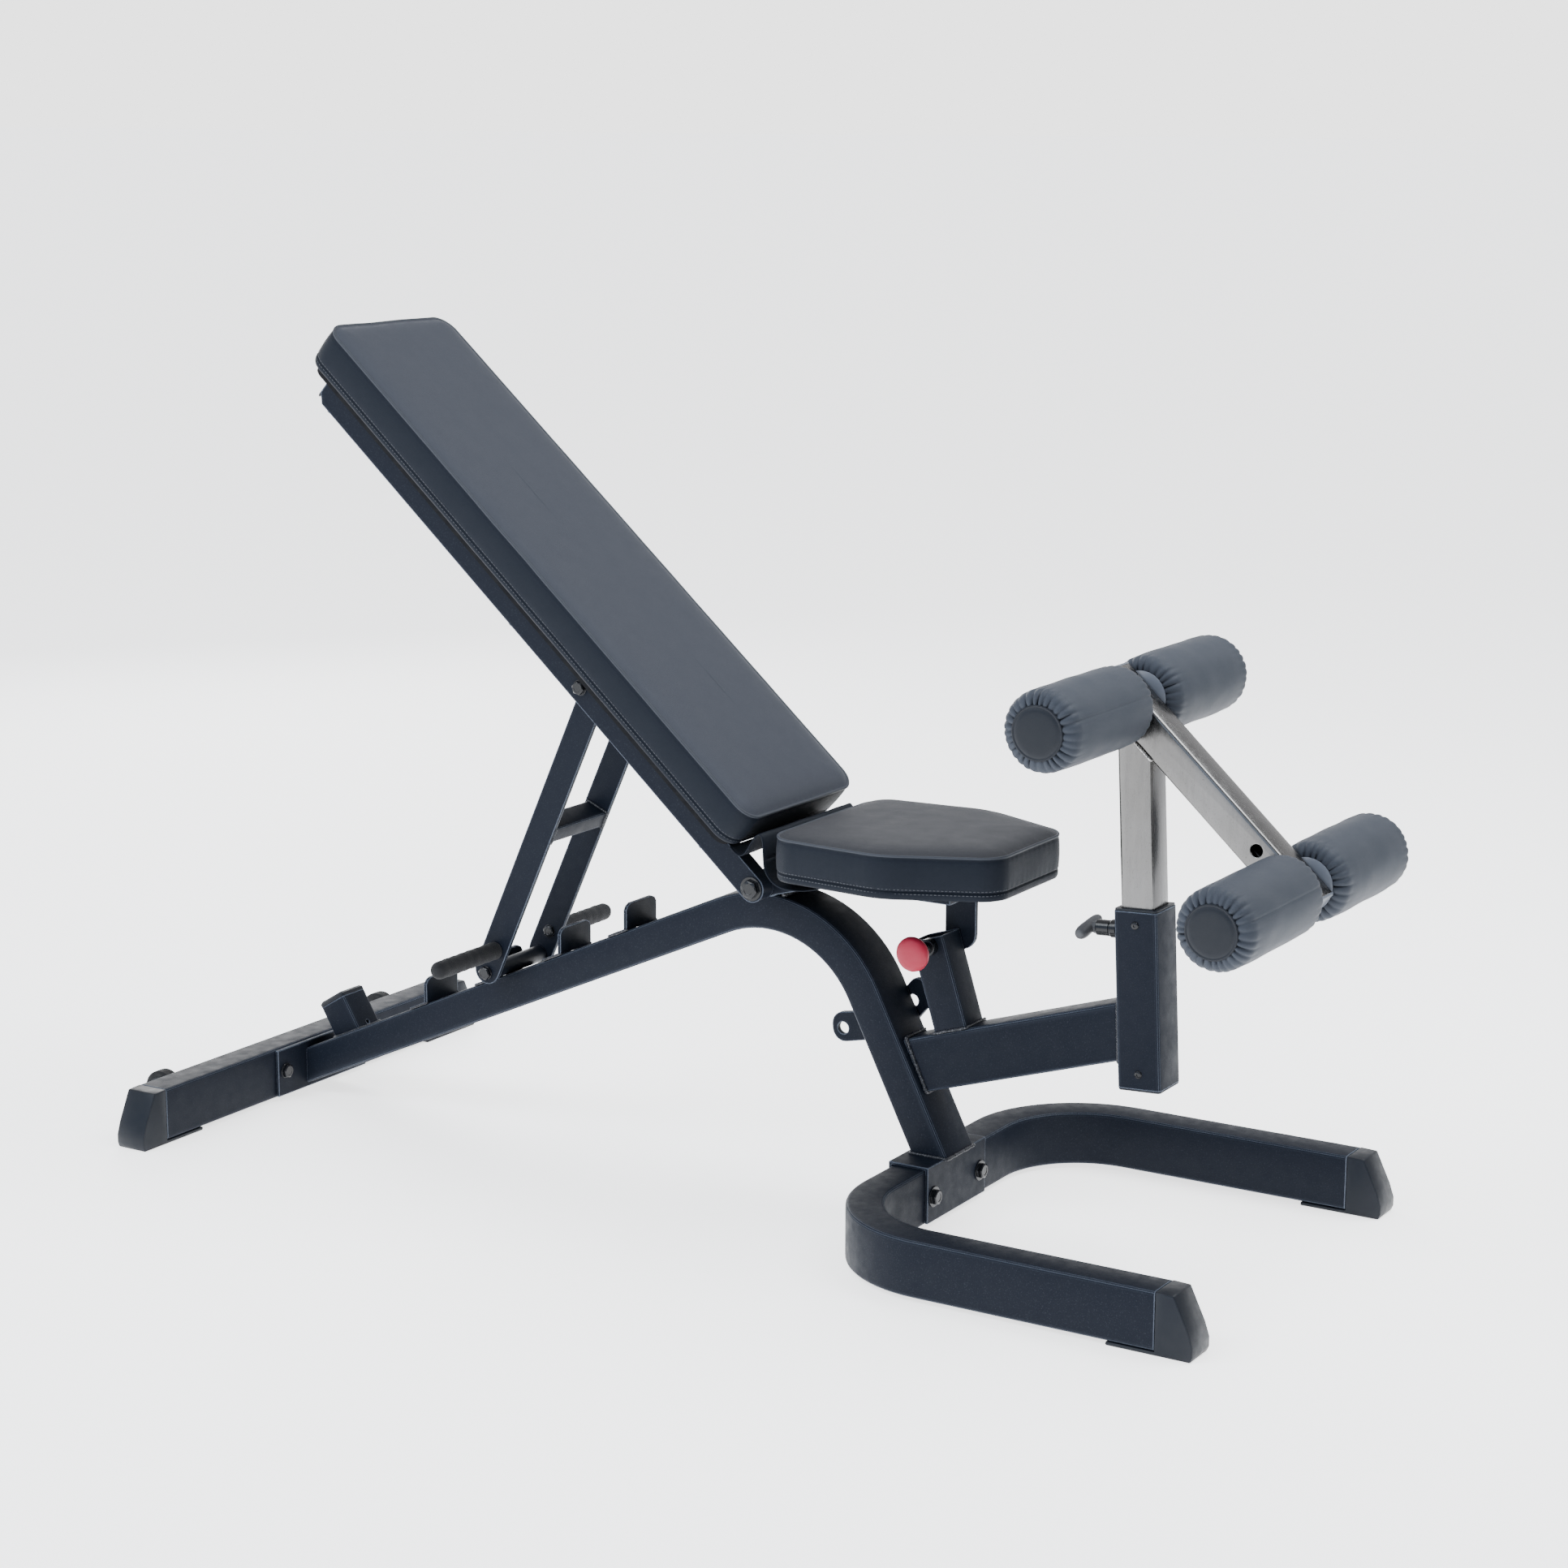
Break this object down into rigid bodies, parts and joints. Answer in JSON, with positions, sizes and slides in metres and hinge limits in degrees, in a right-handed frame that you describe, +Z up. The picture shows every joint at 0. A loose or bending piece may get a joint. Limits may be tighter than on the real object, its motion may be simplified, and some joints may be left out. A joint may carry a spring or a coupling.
{
  "type": "decline sit up bench",
  "caption": "Adjustable sit-up bench: hinged padded back on folding support arms, tilting seat, sliding leg hold-down with padded foot rollers, bent tube frame",
  "frame": {"origin": "Centre of the object's footprint box, at the underside of its feet", "axes": "+Z up; +X along the bench from the raised end of the back pad to the foot rollers; +Y to the sitter's left"},
  "size_m": [1.755, 0.788, 1.1688],
  "materials": {
    "frame_paint": "speckled dark powder coat",
    "satin_chrome": "satin chrome plate",
    "dark_zinc": "dark plated",
    "charcoal_vinyl": "fine grained vinyl",
    "black_plastic": "moulded matt",
    "grip_foam": "closed-cell foam",
    "red_plastic": "moulded satin",
    "stained_board": "black stained",
    "black_rubber": "matt"
  },
  "bodies": {
    "frame": {"rear_stabilizer": "frame_paint", "stabilizer_foot_right": "black_plastic", "stabilizer_foot_left": "black_plastic", "stabilizer_plate": "frame_paint", "stabilizer_bolt_right": "dark_zinc", "stabilizer_bolt_left": "dark_zinc", "main_tube": "frame_paint", "base_saddle": "frame_paint", "saddle_bolt_right": "dark_zinc", "saddle_bolt_left": "dark_zinc", "u_base": "frame_paint", "base_foot_right": "black_plastic", "base_foot_left": "black_plastic", "ladder_plate_1": "frame_paint", "ladder_plate_2": "frame_paint", "ladder_plate_3": "frame_paint", "ladder_plate_4": "frame_paint", "rest_post": "frame_paint", "rest_post_cap": "black_plastic", "pivot_tube": "frame_paint", "pivot_bolt": "dark_zinc", "front_beam": "frame_paint", "seat_post": "frame_paint", "hold_down_sleeve": "frame_paint", "sleeve_liner": "black_plastic", "accessory_plate": "frame_paint", "wheel_bracket_right": "frame_paint", "wheel_bracket_left": "frame_paint", "back_flap": "charcoal_vinyl"},
    "back": {"back_rail_right": "frame_paint", "back_rail_left": "frame_paint", "back_strap_1": "frame_paint", "back_strap_2": "frame_paint", "back_strap_3": "frame_paint", "back_board": "stained_board", "back_cushion": "charcoal_vinyl", "arm_pivot_bolt_right": "dark_zinc", "arm_pivot_bolt_left": "dark_zinc"},
    "arms": {"support_arm_right": "frame_paint", "support_arm_left": "frame_paint", "arm_brace": "frame_paint", "arm_axle": "dark_zinc", "arm_grip_right": "grip_foam", "arm_grip_left": "grip_foam"},
    "arm_roller": {"support_roller": "black_plastic"},
    "seat": {"seat_frame": "frame_paint", "seat_board": "stained_board", "seat_cushion": "charcoal_vinyl"},
    "seat_lock": {"seat_pin": "red_plastic"},
    "hold_down": {"hold_down_post": "satin_chrome", "hold_down_diagonal": "satin_chrome", "roller_axle_upper": "satin_chrome", "roller_axle_lower": "satin_chrome"},
    "hold_down_lock": {"hold_down_pin": "black_plastic"},
    "roller_upper_right": {"foot_roller_upper_right": "charcoal_vinyl"},
    "roller_upper_left": {"foot_roller_upper_left": "charcoal_vinyl"},
    "roller_lower_right": {"foot_roller_lower_right": "charcoal_vinyl"},
    "roller_lower_left": {"foot_roller_lower_left": "charcoal_vinyl"},
    "wheel_right": {"transport_wheel_right": "black_rubber"},
    "wheel_left": {"transport_wheel_left": "black_rubber"}
  },
  "joints": [
    {"name": "back_recline", "type": "hinge", "parent": "frame", "child": "back", "pos_m": [0.0779, 0, 0.4378], "axis": [0, -1, 0], "range_deg": [0, 52]},
    {"name": "support_fold", "type": "hinge", "parent": "back", "child": "arms", "pos_m": [-0.2009, 0, 0.687], "axis": [0, -1, 0], "range_deg": [-104, 0]},
    {"name": "support_roller_spin", "type": "hinge", "parent": "arms", "child": "arm_roller", "pos_m": [-0.3902, 0, 0.2471], "axis": [0, 1, 0], "continuous": true},
    {"name": "seat_tilt", "type": "hinge", "parent": "frame", "child": "seat", "pos_m": [0.0779, 0, 0.4378], "axis": [0, -1, 0], "range_deg": [0, 12]},
    {"name": "seat_pin_pull", "type": "slide", "parent": "frame", "child": "seat_lock", "axis": [0, -1, 0], "range_m": [0, 0.01], "stiffness_N_per_m": 600, "springref_m": -0.004},
    {"name": "hold_down_height", "type": "slide", "parent": "frame", "child": "hold_down", "axis": [-0.0506, 0, 0.9987], "range_m": [-0.07, 0.09]},
    {"name": "hold_down_pin_pull", "type": "slide", "parent": "frame", "child": "hold_down_lock", "axis": [-0.9987, 0, -0.0506], "range_m": [0, 0.012], "stiffness_N_per_m": 600, "springref_m": -0.004},
    {"name": "roller_upper_right_spin", "type": "hinge", "parent": "hold_down", "child": "roller_upper_right", "pos_m": [0.5895, -0.03, 0.7313], "axis": [0, 1, 0], "continuous": true},
    {"name": "roller_upper_left_spin", "type": "hinge", "parent": "hold_down", "child": "roller_upper_left", "pos_m": [0.5895, 0.03, 0.7313], "axis": [0, 1, 0], "continuous": true},
    {"name": "roller_lower_right_spin", "type": "hinge", "parent": "hold_down", "child": "roller_lower_right", "pos_m": [0.8255, -0.03, 0.5153], "axis": [0, 1, 0], "continuous": true},
    {"name": "roller_lower_left_spin", "type": "hinge", "parent": "hold_down", "child": "roller_lower_left", "pos_m": [0.8255, 0.03, 0.5153], "axis": [0, 1, 0], "continuous": true},
    {"name": "wheel_right_spin", "type": "hinge", "parent": "frame", "child": "wheel_right", "pos_m": [-0.8485, -0.243, 0.0455], "axis": [0, 1, 0], "continuous": true},
    {"name": "wheel_left_spin", "type": "hinge", "parent": "frame", "child": "wheel_left", "pos_m": [-0.8485, 0.243, 0.0455], "axis": [0, 1, 0], "continuous": true}
  ],
  "couplings": [
    {"joint": "support_fold", "follows": "back_recline", "ratio": -2}
  ]
}
